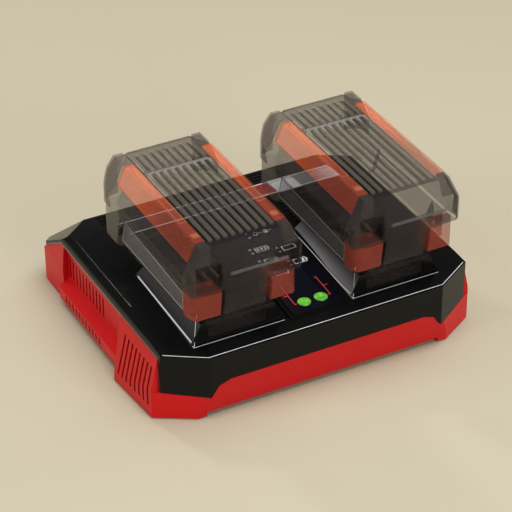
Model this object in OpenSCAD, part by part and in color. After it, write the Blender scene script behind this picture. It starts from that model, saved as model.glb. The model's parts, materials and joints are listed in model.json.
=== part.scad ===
// Twin-bay battery charger with two slide-on battery packs.
// +X to the right, +Y to the back, +Z up. Origin: middle of the footprint, on the table.

/* [Charger casing] */
// Width over the corner pods
overall_w = 250; // [240:1:262]
// Depth from the front face to the rear skirt
overall_d = 208; // [200:1:220]
// Width over the side lips of the cover
lip_w = 231; // [226:1:234]
// Height of the cover's front crease
crease_z = 50; // [48:0.5:52]
// How far the cover arches up from the crease to its middle
arch_h = 7.5; // [6:0.5:9]
// Height of the seam between cover and base along the front
seam_z = 29.5; // [27:0.5:32]
// Height of the seam at the front corners
seam_corner_z = 18.5; // [16:0.5:21]
// Height of the underside of the cover's side lips
lip_z = 46.5; // [45:0.5:47]
// Wall thickness of both casings
wall = 2.5; // [2:0.1:3]
// Gap between neighbouring pieces of the casing
seam_gap = 0.25; // [0.2:0.05:0.35]
// Height of the casing above the table, between the pods
ground_gap = 4; // [3:0.5:5]

/* [Corners] */
// Length of a front corner chamfer along X
front_chamfer_x = 28.5; // [26:0.5:31]
// Length of a front corner chamfer along Y
front_chamfer_y = 17; // [15:0.5:19]
// Length of a rear corner chamfer
rear_chamfer = 8; // [6:0.5:10]
// Depth of the cover's rear slope
rear_slope_y = 23; // [20:0.5:26]
// Height of the rear slope's lower edge
rear_skirt_z = 28; // [26:0.5:30]

/* [Side vents] */
// Depth of the side scoops, from the lip inwards
scoop_in = 3; // [2:0.5:4]
// Length of a front pod
front_pod_l = 48; // [44:1:52]
// Length of a rear pod
rear_pod_l = 40; // [36:1:44]
// Height of the ledge below the scoop
ledge_z = 20; // [18:0.5:21]
// Number of slots in a scoop
scoop_slots = 11; // [9:1:12]
// Number of slots in a front pod
pod_slots = 8; // [6:1:8]
// Spacing of the scoop's slots
scoop_pitch = 5.4; // [5:0.1:5.6]
// Spacing of the pod's slots
pod_pitch = 5.6; // [5:0.1:5.8]
// Width of a slot
slot_w = 2; // [1.6:0.1:2.4]

/* [Bays] */
// Distance between the middles of the two bays
bay_pitch = 118; // [116:0.5:120]
// Height of the top of a bay
bay_z = 66; // [64:0.5:67]
// Width of a bay's flat top
bay_top_w = 54; // [53:0.5:56]
// Length of a bay
bay_l = 77; // [75:0.5:80]
// How far a bay's flanks spread for each millimetre down
bay_slope = 0.44; // [0.38:0.02:0.48]
// Angle by which a bay's outer flank splays out towards the back
bay_splay = 2.5; // [1.5:0.25:3]
// How far a bay's back end spreads for each millimetre down
bay_end_slope = 0.6; // [0.4:0.05:0.6]
// Height of the channel's floor
channel_z = 53; // [52.5:0.5:54]
// Width of the channel below its rails
channel_w = 44; // [43:0.5:45]
// Width of the opening between the rails
channel_mouth_w = 36; // [35:0.5:37]
// Thickness of the rails
rail_t = 3.6; // [3.2:0.1:4]
// Thickness of the wall behind the contact block
bay_back_t = 2.5; // [2:0.1:3]

/* [Top details] */
// Width of the centre console
console_w = 44; // [42:1:46]
// How far the console stands proud of the cover
console_h = 1.5; // [1:0.1:2]
// Width of the dark panel on the console
panel_w = 38; // [36:0.5:39]
// Length of the dark panel
panel_l = 94; // [90:1:97]
// Thickness of the dark panel
panel_t = 1.6; // [1.4:0.1:2]
// How far the panel stands proud of the console
panel_proud = 0.9; // [0.6:0.1:1.2]
// Diameter of a status lens
status_d = 9; // [8:0.5:10]
// Distance between the two status lenses
status_pitch = 12.5; // [12:0.5:13]
// Diameter of a small indicator lens
indicator_d = 2.2; // [1.8:0.1:2.6]
// Width of the label band
band_w = 166; // [160:1:172]
// How far the label band sits to the right of the middle
band_x = 7; // [0:1:10]
// Depth of the label band
band_d = 19; // [17:0.5:20]
// Thickness of the label band
band_t = 0.8; // [0.6:0.1:1]
// Number of louvres in front of the label band
louvre_count = 9; // [6:1:9]
// Number of louvres behind the label band
rear_louvre_count = 3; // [2:1:3]
// Spacing of the louvres
louvre_pitch = 5; // [4.6:0.1:5.2]
// Width of a louvre's slot
louvre_w = 1.8; // [1.4:0.1:2.2]

/* [Battery packs] */
// Width of a pack's upper shell
pack_w = 82; // [80:0.5:84]
// Length of a pack's upper shell
pack_l = 135; // [130:1:137]
// Height of a pack above its bay
pack_h = 66; // [62:1:70]
// How far a pack reaches in front of its bay
pack_front = 16; // [14:0.5:16]
// Width of a pack's lower shell
waist_w = 75; // [73:0.5:76]
// Length of the lower shell's full-width rear part
heel_l = 22; // [18:1:28]
// Height of its underside over the bay
heel_lift = 6; // [5:0.5:9]
// Height of the lower shell's upper edge above the bay
waist_h = 31; // [30:0.5:34]
// Width of the foot that stands on the bay
foot_w = 48; // [44:1:52]
// Height of the foot
foot_z = 10; // [8:0.5:11]
// Radius of a pack's vertical corners
pack_r = 10; // [8:0.5:12]
// Wall thickness of a pack
pack_wall = 2.2; // [2:0.1:2.6]
// Gap between a pack and the top of its bay
pack_lift = 0.5; // [0.4:0.1:0.8]
// Clearance between a pack's slide block and the channel
slide_gap = 0.5; // [0.4:0.05:0.6]
// Number of ribs on a pack
rib_count = 9; // [7:1:10]
// Width of a rib
rib_w = 3.1; // [2.6:0.1:3.4]
// Height of a rib
rib_h = 1.5; // [1:0.1:2]
// Length of a grip strip
strip_l = 103; // [96:1:106]
// Width of a grip strip's flat part
strip_w = 7; // [6:0.5:8]
// Thickness of a grip strip
strip_t = 1.4; // [1:0.1:1.8]
// Length of the gauge bar
gauge_l = 41; // [36:1:44]
// Width of a release button along X
button_w = 19.5; // [18:0.5:20]
// Height of a release button
button_h = 19.4; // [18:0.2:19.8]
// Travel of a release button
button_travel = 2.5; // [2:0.5:3]
// Clearance around a release button
button_gap = 0.5; // [0.4:0.05:0.6]

/* [Inside] */
// Height of the circuit board's underside
board_z = 13; // [11:0.5:15]
// Thickness of the circuit board
board_t = 1.6; // [1.2:0.1:2]
// Width of the circuit board
board_w = 176; // [168:1:180]
// Depth of the circuit board
board_d = 120; // [112:1:124]
// Thickness of a contact blade
blade_t = 0.8; // [0.6:0.1:1]
// Length of a contact blade in front of its block
blade_l = 14; // [12:0.5:15]
// Number of contact blades in a bay
blade_count = 4; // [3:1:5]
// Depth of the transformer's core
core_d = 38; // [34:1:40]
// Width of the transformer's core
core_w = 30; // [26:1:34]
// Diameter of the transformer's winding
winding_d = 30; // [26:1:30]
// Height of the transformer's winding
winding_h = 14; // [12:1:16]
// Diameter of a large filter capacitor
big_cap_d = 16; // [14:1:18]
// Height of a large filter capacitor
big_cap_h = 22; // [18:1:25]
// Diameter of a small filter capacitor
small_cap_d = 10; // [8:1:12]
// Height of a small filter capacitor
small_cap_h = 16; // [12:1:20]
// Length of the heat sink
sink_l = 50; // [46:1:54]
// Height of the heat sink
sink_h = 26; // [20:1:28]
// Length of a heat sink fin
fin_l = 14; // [10:1:16]
// Height of a power transistor
transistor_h = 18; // [15:1:19]
// Length of the fuse holder
fuse_l = 26; // [24:1:28]
// Width of the mains terminal
terminal_w = 20; // [18:1:22]
// Bore of the cord gland
cord_bore_d = 7.2; // [6.4:0.1:8]
// Outer diameter of the cord gland's neck
gland_d = 12; // [11.5:0.1:13]
// Diameter of the cord gland's flange
gland_flange_d = 14.4; // [14:0.1:14.8]
// Length of the cord gland behind the rear wall
gland_l = 6; // [5:0.5:8]
// Distance between the two wall plate holes
plate_pitch = 150; // [140:1:156]
// Diameter of a wall plate hole
plate_hole_d = 3.6; // [3.2:0.1:4.2]
// Diameter of the casing screws
screw_d = 3; // [2.6:0.1:3.4]
// Diameter of a rubber foot
foot_d = 13; // [11:0.5:15]
// Height of a rubber foot
foot_h = 2.2; // [2:0.1:2.6]

/* [Hidden] */
$fn = 48;

black = [0.05, 0.05, 0.055];
red = [0.72, 0.09, 0.09];
charcoal = [0.24, 0.22, 0.21];
metal = [0.75, 0.75, 0.76];
tall = 90; // taller than the casing, for cuts that run out of it
over = 1; // overshoot of a cut

// Plan of the casing
front_y = -overall_d / 2;
back_y = overall_d / 2;
lip_x = lip_w / 2;
pod_x = overall_w / 2;
scoop_x = lip_x - scoop_in;
chamfer_x = lip_x - front_chamfer_x;
chamfer_back_y = front_y + front_chamfer_y;
chamfer_angle = atan2(front_chamfer_y, front_chamfer_x);
rear_top_y = back_y - rear_slope_y;
lip_t = crease_z - lip_z;
side_rim = 0.5; // how far the rim inside the lips reaches past the base's wall
front_batter = 5; // how far the front leans in at the bottom
floor_z = ground_gap + wall;

// Corner pods, on the right side
pod_z = 1; // underside, above the table
pod_root_x = chamfer_x + 1; // where a front pod grows out of the front
pod_toe_x = chamfer_x + 8;
pod_nose_x = pod_x - 4;
pod_widest_y = front_y + front_pod_l + 21;
pod_end_y = pod_widest_y + 12;
pod_skirt_z = pod_z + 5; // below it a front pod's side is upright
pod_top_out = 0.5; // how far a front pod stands out of the lip at its top
pod_hollow_x = scoop_x - 8;
pod_hollow_z = 8;
pod_hollow_wall = 4.5; // wall at the hollow's foot
pod_hollow_top_wall = 2; // wall at the hollow's top
pod_hollow_y0 = front_y + 25;
pod_hollow_y1 = front_y + front_pod_l + 18;
rear_pod_out = 1.5; // how far a rear pod stands out of the lip
rear_pod_foot_out = 1;
ledge_out = 4.7; // how far the ledge stands out of the lip
ledge_foot_out = 4;
ledge_bend_z = ledge_z - 6;

// Slots in the scoops, in the ledges and in the front pods
scoop_slot_top_z = 37;
scoop_slot_sill = 1.5; // height of the sill over the ledge
scoop_slot_y = back_y - rear_pod_l - 3; // the rearmost slot
ledge_slot_z0 = 6.5;
ledge_slot_z1 = 12.5;
ledge_slot_in = 2; // where a ledge's slot begins, outside the lip
ledge_slot_shift = 8; // how far it lies in front of the scoop's slot
pod_slot_z0 = 9;
pod_slot_z1 = 38.5;
pod_slot_y = front_y + front_pod_l + 16; // the rearmost slot
pod_slot_in = 6;

// Arch of the cover from front to back: it rises to its peak, then falls towards the rear slope
arch_peak = 0.59; // share of the length at which it peaks
arch_end = 0.2; // share of the height that is left at the rear slope
arch_steps = 18;
function arch_share(s) = s < arch_peak ? pow(sin(90 * s / arch_peak), 1.6)
  : 1 - (1 - arch_end) * pow((s - arch_peak) / (1 - arch_peak), 2.5);
arch_table = [for (i = [0:arch_steps])
  [front_y + i / arch_steps * (rear_top_y - front_y), crease_z + arch_share(i / arch_steps) * arch_h]];
function arch_z(y) = lookup(y, arch_table);

// Rounding of the cover's side, from the lip inwards: distance in, height over the crease
shoulder_w = 16;
shoulder_drop = 0.5; // how far its outer edge lies below the crease
shoulder_rise = 0.7; // how far its inner edge lies above the arch's peak
shoulder = [for (a = [0:15:90]) [shoulder_w * (1 - cos(a)),
  -shoulder_drop + (shoulder_drop + arch_h + shoulder_rise) * sin(a)]];

// Rear corner facet: a plane through three corners
facet_l = 13;
facet_w = 23;
facet_a = [lip_x, rear_top_y - facet_l, crease_z];
facet_b = [lip_x - facet_w, rear_top_y, crease_z + 0.2 * arch_h];
facet_c = [lip_x, back_y - 1, rear_skirt_z];
facet_n = cross(facet_c - facet_a, facet_b - facet_a);
facet_tilt = acos(facet_n[2] / norm(facet_n));
facet_turn = atan2(facet_n[1], facet_n[0]);

// Seam between cover and base, seen from the front
seam_flat_x = chamfer_x - 14;
seam_knee_x = chamfer_x - 5.5;
seam_knee_z = seam_z - 3;
seam_side_z = seam_corner_z + 3;

// Bays
bay_x = bay_pitch / 2;
bay_y0 = chamfer_back_y;
bay_y1 = bay_y0 + bay_l;
bay_floor_z = crease_z - wall;
bay_foot_x = bay_top_w / 2 + bay_slope * (bay_z - bay_floor_z);
channel_y1 = bay_y1 - bay_back_t;
rail_z = bay_z - rail_t;
block_d = 9; // depth of a contact block
block_gap = 0.2;
block_y1 = channel_y1 - block_gap;
block_y0 = block_y1 - block_d;
block_lift = 0.3; // gap between a contact block and the rails over it
blade_margin = 3; // from the channel's mouth to the outer blades' share of it
blade_pitch = (channel_mouth_w - 2 * blade_margin) / blade_count;
blade_z0 = channel_z + 2.5;
blade_z1 = rail_z - 1.5;
blade_fit = 0.05;
blade_back = 2; // block left behind a blade
lead_w = 16;
lead_t = 1.2;
lead_y = block_y0 + block_d / 2;
lead_room = 1; // room around a lead in the bay's floor
lead_fit = 0.2;
lead_bite = 1; // how far a lead reaches into its block

// Packs
pack_z = bay_z + pack_lift;
pack_y0 = bay_y0 - pack_front;
pack_y1 = pack_y0 + pack_l;
pack_top = pack_z + pack_h;
pack_deck = pack_top - rib_h;
pack_x = pack_w / 2;
waist_x = waist_w / 2;
waist_front = 3; // how far the lower shell stays behind the upper one in front
waist_back = 9; // and at the back
waist_y0 = pack_y0 + waist_front;
waist_y1 = pack_y1 - waist_back;
split_z = pack_z + waist_h;
foot_top = pack_z + foot_z;
heel_y0 = pack_y1 - heel_l; // front of the lower shell's full-width rear part
heel_z = pack_z + heel_lift;
heel_rake = 9; // how far its front leans forward at the top
heel_chamfer = 4;
heel_flare = 8; // height over which it widens below the split
brow_z = split_z + 13; // where the near end and the sides bulge most
bevel_x = 9.5; // bevel along the deck's long edges
bevel_edge_x = 4; // its part of the way out, where it meets the side
bevel_z = 13;
bevel_angle = atan2(bevel_z, bevel_x - bevel_edge_x);
plate_t = 2; // thickness of the upper shell's bottom plate
deck_edge_x = pack_x - bevel_x;
rib_field_x = deck_edge_x - strip_w;
bumper_r = 9;
bumper_x = rib_field_x + 0.3 + bumper_r;
bumper_t = 1;
gauge_x = 7.5;
gauge_in = 0.6; // how deep the gauge bar sits in the near end
tower_y0 = bay_y0 + 0.3;
tower_y1 = block_y0 - 1;
foot_y0 = bay_y0 - 4;
foot_y1 = bay_y1 + 6;
strip_y0 = pack_y0 + 12;
rib_y0 = pack_y0 + 10;
rib_y1 = pack_y1 - 9;
rib_break_y = rib_y1 - 25; // middle of the cross groove
rib_break_w = 4;
comb_y = pack_y1 - 5; // rear edge of the plate that joins the ribs at the back
button_y1 = waist_y0 + 15;
button_z1 = split_z - button_gap;
button_z0 = button_z1 - button_h;
button_x = waist_x - button_w;
button_proud = 0.8;
pocket_t = 1.5;
pocket_h = 21; // height of the finger pocket above a button
pocket_d = 11; // its depth from the pack's near end

// Screws and posts
post_r = 4.5;
boss_r = 4;
boss_z = floor_z + 20;
boss_bite = 8; // how far a screw reaches into its boss
screw_head_r = 2.8;
screw_head_h = 2;
screw_head_fit = 0.4;
screw_fit = 0.1;
screw_seat_z = ground_gap + 5;
side_screw_x = scoop_x - 14.5;
side_screw_y = [front_y + 26, back_y - 34];
mid_screw_y = [front_y + 10, back_y - 13];
all_screw_xy = concat([for (s = [-1, 1], y = side_screw_y) [s * side_screw_x, y]],
  [for (y = mid_screw_y) [0, y]]);
board_y = 10;
board_post_r = 3.5;
board_post_in = 6; // from the board's edge
board_screw_r = 1.25;
board_screw_bite = 5;
board_screw_z0 = board_z - board_screw_bite;
board_screw_head_h = 1.6;
board_screw_xy = [for (s = [-1, 1], t = [-1, 1])
  [s * (board_w / 2 - board_post_in), board_y + t * (board_d / 2 - board_post_in)]];
board_top = board_z + board_t;
gland_x = 70;
gland_z = 14;
gland_fit = 0.15;
plate_hole_l = 6;
plate_boss_r = 5;
plate_boss_roof = 1.5;
foot_recess = 1.2;
foot_fit = 0.1;
front_foot = [lip_x - 7.5, front_y + 32];
rear_foot = [lip_x - 10.5, back_y - 22];
foot_xy = [for (s = [-1, 1], p = [front_foot, rear_foot]) [s * p[0], p[1]]];

// Parts on the board
transformer_xy = [-30, board_y + 14];
pin_block_h = 3;
pin_row = 1; // how far the pin block reaches past the core
yoke_t = 5;
core_leg_t = 3.5;
cap_gap = 4;
big_cap_xy = [34, board_y + 40];
small_cap_xy = [-8, board_y - 44];
sink_xy = [22, board_y - 8];
sink_t = 3;
fin_t = 1.6;
fin_pitch = 7;
transistor_w = 10;
transistor_t = 4.5;
transistor_fit = 0.1;
fuse_xy = [-74, board_y + 34];
fuse_w = 8;
fuse_end = 3; // thickness of the holder's ends
fuse_floor = 2; // thickness of the holder's floor
fuse_r = 2.5;
fuse_lift = 0.5; // gap between the fuse and the holder's floor
fuse_bite = 0.5; // how far the fuse reaches into each end
terminal_xy = [-70, board_y + 46];
terminal_d = 10;
terminal_h = 12;
terminal_hole_r = 2;
terminal_hole_l = 7;

// 2-D shapes: a half outline on the right is completed on the left
function mirrored(p) = concat(p, [for (i = [len(p) - 1:-1:0]) [-p[i][0], p[i][1]]]);
function chamfer_at(x) = chamfer_back_y - (lip_x - x) * front_chamfer_y / front_chamfer_x;
// Plan at half width hw, inset by t
function plan(hw, t) = mirrored([
  [chamfer_x - t * tan(chamfer_angle / 2), front_y + t],
  [hw - t, chamfer_at(hw) + t * tan((90 - chamfer_angle) / 2)],
  [hw - t, back_y - rear_chamfer - t * tan(22.5)],
  [hw - rear_chamfer - t * tan(22.5), back_y - t]
]);
// Cover seen from the side, inset by t
function cover_side(t) = concat(
  [[front_y + t, 0]],
  [for (i = [0:arch_steps]) arch_table[i] + [i == 0 ? t : i == arch_steps ? -t * tan(22.5) : 0, -t]],
  [[back_y - t, rear_skirt_z - t * tan(22.5)], [back_y - t, 0]]);
// Cover seen from the front, inset by t
function cover_front(t) = mirrored(concat(
  [[lip_x - t, 0]], [for (p = shoulder) [lip_x - p[0] - t, crease_z + p[1] - t]]));
// Everything above the seam, seen from the front, lowered by g
function seam(g) = mirrored([
  [seam_flat_x - g, seam_z - g], [seam_knee_x - g, seam_knee_z - g],
  [chamfer_x - g, seam_corner_z - g], [lip_x, seam_side_z - g], [pod_x + 10, seam_side_z - g],
  [pod_x + 10, tall]]);

module along_x(l) { rotate([90, 0, 90]) linear_extrude(height = l, center = true) children(); }
module along_y(y0, y1) {
  translate([0, y1, 0]) rotate([90, 0, 0]) linear_extrude(height = y1 - y0) children();
}
module both_sides() {
  children();
  mirror([1, 0, 0]) children();
}
module left() { translate([-bay_x, 0, 0]) children(); }
module right() { translate([bay_x, 0, 0]) children(); }
module slab(x0, x1, y0, y1, z0, z1) { translate([x0, y0, z0]) cube([x1 - x0, y1 - y0, z1 - z0]); }
module pillar(p, r, z0, z1) { translate([p[0], p[1], z0]) cylinder(r = r, h = z1 - z0); }

// ---- casing ----
module cover_form(t) {
  difference() {
    intersection() {
      linear_extrude(height = tall) polygon(plan(lip_x, t));
      along_x(overall_w) polygon(cover_side(t));
      along_y(front_y, back_y) polygon(cover_front(t));
    }
    both_sides() translate(facet_a) rotate([0, facet_tilt, facet_turn])
      translate([-60, -60, -t]) cube([120, 120, 60]);
  }
}
// The cover's share of the casing: above the seam, the lips and the rear skirt
module cover_zone(g) {
  along_y(front_y - over, chamfer_back_y + wall + g) polygon(seam(g));
  along_x(overall_w + 20) polygon([
    [front_y - over, lip_z - g], [rear_top_y - facet_l, lip_z - g],
    [back_y - 1, rear_skirt_z - lip_t - g], [back_y + over, rear_skirt_z - lip_t - g],
    [back_y + over, tall], [front_y - over, tall]]);
}
module base_form(t) {
  intersection() {
    linear_extrude(height = tall) polygon(plan(scoop_x, t));
    along_x(overall_w) polygon([
      [front_y + front_batter + t, ground_gap], [front_y + t, seam_z], [front_y + t, tall],
      [back_y - t, tall], [back_y - t, ground_gap]]);
    slab(-pod_x, pod_x, front_y, back_y, t > 0 ? floor_z : ground_gap, tall);
  }
}
module front_pod() {
  intersection() {
    linear_extrude(height = tall) polygon([
      [pod_root_x, front_y + front_batter], [pod_toe_x, front_y + front_batter],
      [pod_nose_x, chamfer_at(pod_nose_x)], [pod_x, pod_widest_y],
      [scoop_x - wall, pod_end_y], [pod_root_x, pod_end_y]]);
    along_y(front_y, pod_end_y + over) polygon([
      [chamfer_x, pod_z], [pod_x, pod_z], [pod_x, pod_skirt_z], [lip_x + pod_top_out, lip_z],
      [chamfer_x, lip_z]]);
  }
}
module front_pod_hollow() {
  along_y(pod_hollow_y0, pod_hollow_y1) polygon([
    [pod_hollow_x, pod_hollow_z], [pod_x - pod_hollow_wall, pod_hollow_z],
    [lip_x - pod_hollow_top_wall, lip_z + over], [pod_hollow_x, lip_z + over]]);
}
module rear_pod() {
  intersection() {
    linear_extrude(height = tall) polygon(plan(lip_x + rear_pod_out, 0));
    along_y(back_y - rear_pod_l, back_y) polygon([
      [pod_toe_x, pod_z], [lip_x + rear_pod_foot_out, pod_z], [lip_x + rear_pod_out, rear_skirt_z],
      [lip_x, lip_z], [pod_toe_x, lip_z]]);
  }
}
module ledge() {
  along_y(pod_hollow_y1, back_y - rear_pod_l + over) polygon([
    [scoop_x - wall, ground_gap], [lip_x + ledge_foot_out, ground_gap],
    [lip_x + ledge_out, ledge_bend_z], [scoop_x, ledge_z], [scoop_x - wall, ledge_z]]);
}
// A slot through x0 to x1 and z0 to z1, slot_w wide about y
module slot(x0, x1, y, z0, z1) { slab(x0, x1, y - slot_w / 2, y + slot_w / 2, z0, z1); }
module side_slots() {
  for (i = [0:scoop_slots - 1]) {
    y = scoop_slot_y - i * scoop_pitch;
    slot(scoop_x - wall - over, lip_x, y, ledge_z + scoop_slot_sill, scoop_slot_top_z);
    slot(lip_x + ledge_slot_in, pod_x, y - ledge_slot_shift, ledge_slot_z0, ledge_slot_z1);
  }
  for (i = [0:pod_slots - 1])
    slot(scoop_x - pod_slot_in, pod_x + over, pod_slot_y - i * pod_pitch, pod_slot_z0, pod_slot_z1);
}
module base_shell() color(red) {
  difference() {
    union() {
      difference() {
        union() {
          base_form(0);
          both_sides() {
            front_pod();
            rear_pod();
            ledge();
          }
        }
        base_form(wall);
        both_sides() {
          front_pod_hollow();
          side_slots();
        }
        cover_zone(seam_gap);
      }
      for (p = all_screw_xy) pillar(p, post_r, ground_gap, boss_z - seam_gap);
      for (p = board_screw_xy) pillar(p, board_post_r, ground_gap, board_z);
      both_sides() pillar([plate_pitch / 2, 0], plate_boss_r, ground_gap,
        ground_gap + plate_hole_l + plate_boss_roof);
    }
    for (p = all_screw_xy) {
      pillar(p, screw_d / 2 + screw_fit, ground_gap - over, tall);
      pillar(p, screw_head_r + screw_head_fit, pod_z - over, screw_seat_z);
    }
    for (p = board_screw_xy) pillar(p, board_screw_r + screw_fit, board_screw_z0 - over, board_z + over);
    both_sides() pillar([plate_pitch / 2, 0], plate_hole_d / 2, ground_gap - over,
      ground_gap + plate_hole_l);
    for (p = foot_xy) pillar(p, foot_d / 2 + foot_fit, pod_z - over, pod_z + foot_recess);
    translate([gland_x, back_y + over, gland_z]) rotate([90, 0, 0])
      cylinder(d = gland_d + 2 * gland_fit, h = wall + 2 * over);
  }
}

module bay_flanks() {
  along_y(bay_y0 - bay_l, bay_y1 + bay_l)
    polygon(mirrored([[bay_foot_x, bay_floor_z], [bay_top_w / 2, bay_z]]));
}
// The right bay: its outer flank splays to the right
module bay_block() {
  intersection() {
    union() {
      bay_flanks();
      translate([bay_foot_x, bay_y0, 0]) rotate(-bay_splay) translate([-bay_foot_x, -bay_y0, 0])
        bay_flanks();
    }
    along_x(4 * bay_foot_x) polygon([
      [bay_y0, bay_floor_z], [bay_y0, bay_z], [bay_y1, bay_z],
      [bay_y1 + bay_end_slope * (bay_z - bay_floor_z), bay_floor_z]]);
  }
}
module bay_channel() {
  slab(-channel_w / 2, channel_w / 2, bay_y0 - over, channel_y1, channel_z, rail_z);
  slab(-channel_mouth_w / 2, channel_mouth_w / 2, bay_y0 - over, channel_y1, channel_z,
    bay_z + over);
  slab(-lead_w / 2 - lead_room, lead_w / 2 + lead_room, lead_y - lead_t / 2 - lead_room,
    lead_y + lead_t / 2 + lead_room, bay_floor_z - over, channel_z + over);
}
// A sheet that follows the arch of the cover between two heights over it
module on_arch(w, y0, y1, h0, h1) {
  stations = concat([y0], [for (p = arch_table) if (p[0] > y0 && p[0] < y1) p[0]], [y1]);
  along_x(w) polygon(concat(
    [for (y = stations) [y, arch_z(y) + h0]],
    [for (i = [len(stations) - 1:-1:0]) [stations[i], arch_z(stations[i]) + h1]]));
}
console_rim = 1.5; // rim of the console around the panel
console_y0 = front_y + 13;
panel_y0 = console_y0 + console_rim;
panel_y1 = panel_y0 + panel_l;
panel_h = console_h + panel_proud;
panel_fit = 0.15;
panel_seat = 0.05; // gap below the panel and the label band
band_y1 = rear_top_y - 21;
band_y0 = band_y1 - band_d;
cut_z = bay_floor_z - 17.5; // foot of the cuts that go through the cover
louvre_bar = 6; // bar between the louvre groups
louvre_l = bay_pitch / 2 - louvre_bar;
louvre_front_y = band_y0 - 4; // rearmost louvre in front of the label band
louvre_rear_y = band_y1 + 1 + rear_louvre_count * louvre_pitch; // rearmost louvre of all
module louvres(y_first, count) {
  for (i = [0:count - 1], s = [-1, 0, 1]) {
    x = s * (louvre_l + louvre_bar);
    y = y_first - i * louvre_pitch;
    slab(x - louvre_l / 2, x + louvre_l / 2, y - louvre_w / 2, y + louvre_w / 2, cut_z, tall);
  }
}
status_y = panel_y0 + 9;
status_xy = [for (s = [-1, 1]) [s * status_pitch / 2, status_y]];
// Indicators stand in pairs, one behind the other, three pairs on the left and two on the right
indicator_pitch = 4.5; // distance between the two of a pair
pair_pitch = 14;
left_pairs_xy = [-13.3, status_y + 33];
right_pairs_xy = [4.2, status_y + 39];
pair_xy = concat([for (i = [0:2]) left_pairs_xy + [0, i * pair_pitch]],
  [for (i = [0:1]) right_pairs_xy + [0, i * (pair_pitch + 2)]]);
indicator_xy = [for (p = pair_xy, s = [-1, 1]) p + [0, s * indicator_pitch / 2]];
lens_root = 1; // how far a lens reaches below the cover's surface
lens_proud = 0.2;
lens_fit = 0.1;
lens_room = 0.3; // room around a lens in the cover
display_z = crease_z - wall - 9;
display_t = 1.2;
display_x = 16;
display_y0 = panel_y0 + 1;
display_y1 = left_pairs_xy[1] + 2 * pair_pitch + 7;
display_post_r = 2.5;
display_post_in = 3.5; // from the display board's edges
display_post_xy = [for (s = [-1, 1], y = [display_y0 + display_post_in, display_y1 - display_post_in])
  [s * (display_x - display_post_in), y]];
guide_in = 1; // how much narrower a status guide's radius is than its lens's
guide_fit = 0.2;
module lens_holes(extra) {
  for (p = status_xy) pillar(p, status_d / 2 + extra, cut_z, tall);
  for (p = indicator_xy) pillar(p, indicator_d / 2 + extra, cut_z, tall);
}
module top_cover() color(black) {
  difference() {
    union() {
      intersection() {
        difference() {
          cover_form(0);
          cover_form(wall);
        }
        cover_zone(0);
      }
      intersection() {
        on_arch(console_w, console_y0, panel_y1 + console_rim, -wall / 2, console_h);
        cover_zone(0);
      }
      both_sides() right() bay_block();
      intersection() {
        cover_form(wall / 2);
        union() {
          for (p = all_screw_xy) pillar(p, boss_r, boss_z, tall);
          for (p = display_post_xy) pillar(p, display_post_r, display_z + display_t, tall);
          both_sides() slab(scoop_x - wall - side_rim, lip_x, chamfer_back_y, rear_top_y - facet_l,
            lip_z, lip_z + wall);
        }
      }
    }
    both_sides() right() bay_channel();
    for (p = all_screw_xy)
      pillar(p, screw_d / 2 + screw_fit, boss_z - over, boss_z + boss_bite + over);
    on_arch(panel_w + 2 * panel_fit, panel_y0 - panel_fit, panel_y1 + panel_fit,
      panel_h - panel_t, panel_h + over);
    translate([band_x, 0, 0])
      on_arch(band_w + 2 * panel_fit, band_y0 - panel_fit, band_y1 + panel_fit, -band_t / 2, over);
    lens_holes(lens_room);
    louvres(louvre_front_y, louvre_count);
    louvres(louvre_rear_y, rear_louvre_count);
  }
}

// ---- panel, lights and label ----
module window_panel() color([0.04, 0.04, 0.09]) {
  difference() {
    on_arch(panel_w, panel_y0, panel_y1, panel_h - panel_t + panel_seat, panel_h);
    lens_holes(lens_fit);
  }
}
module lens(p, d) { pillar(p, d / 2, arch_z(p[1]) - lens_root, arch_z(p[1]) + panel_h + lens_proud); }
module status_lenses() color([0.3, 0.85, 0.25]) {
  for (p = status_xy) lens(p, status_d);
}
module indicator_lenses() color([0.85, 0.9, 0.85]) {
  for (p = indicator_xy) lens(p, indicator_d);
}
module label_band() color([0.85, 0.85, 0.86]) {
  translate([band_x, 0, 0]) on_arch(band_w, band_y0, band_y1, -band_t / 2 + panel_seat, band_t / 2);
}

// ---- electronics ----
module main_board() color([0.1, 0.35, 0.2]) {
  difference() {
    slab(-board_w / 2, board_w / 2, board_y - board_d / 2, board_y + board_d / 2, board_z,
      board_top);
    for (p = board_screw_xy) pillar(p, board_screw_r + screw_fit, board_z - over, tall);
  }
}
module transformer() color([0.75, 0.6, 0.2]) {
  translate([transformer_xy[0], transformer_xy[1], board_top]) {
    slab(-core_d / 2, core_d / 2, -core_w / 2 - pin_row, core_w / 2 + pin_row, 0, pin_block_h);
    for (z = [pin_block_h, pin_block_h + yoke_t + winding_h])
      slab(-core_w / 2, core_w / 2, -core_d / 2, core_d / 2, z, z + yoke_t);
    translate([0, 0, pin_block_h + yoke_t]) {
      cylinder(d = winding_d, h = winding_h);
      for (y = [-core_d / 2, core_d / 2 - core_leg_t])
        slab(-core_w / 2, core_w / 2, y, y + core_leg_t, 0, winding_h);
    }
  }
}
module filter_capacitors() color([0.12, 0.12, 0.16]) {
  for (i = [0:2]) {
    pillar(big_cap_xy + [i * (big_cap_d + cap_gap), 0], big_cap_d / 2, board_top,
      board_top + big_cap_h);
    pillar(small_cap_xy + [i * (small_cap_d + cap_gap), 0], small_cap_d / 2, board_top,
      board_top + small_cap_h);
  }
}
module heat_sink() color(metal) {
  translate([sink_xy[0], sink_xy[1], board_top]) {
    cube([sink_l, sink_t, sink_h]);
    for (x = [0:fin_pitch:sink_l - fin_t]) translate([x, sink_t, 0]) cube([fin_t, fin_l, sink_h]);
  }
}
module power_transistors() color([0.1, 0.1, 0.1]) {
  for (i = [0:2])
    translate([sink_xy[0] + sink_l / 10 + i * 3 * sink_l / 10, sink_xy[1] - transistor_t, board_top])
      cube([transistor_w, transistor_t - transistor_fit, transistor_h]);
}
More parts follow.
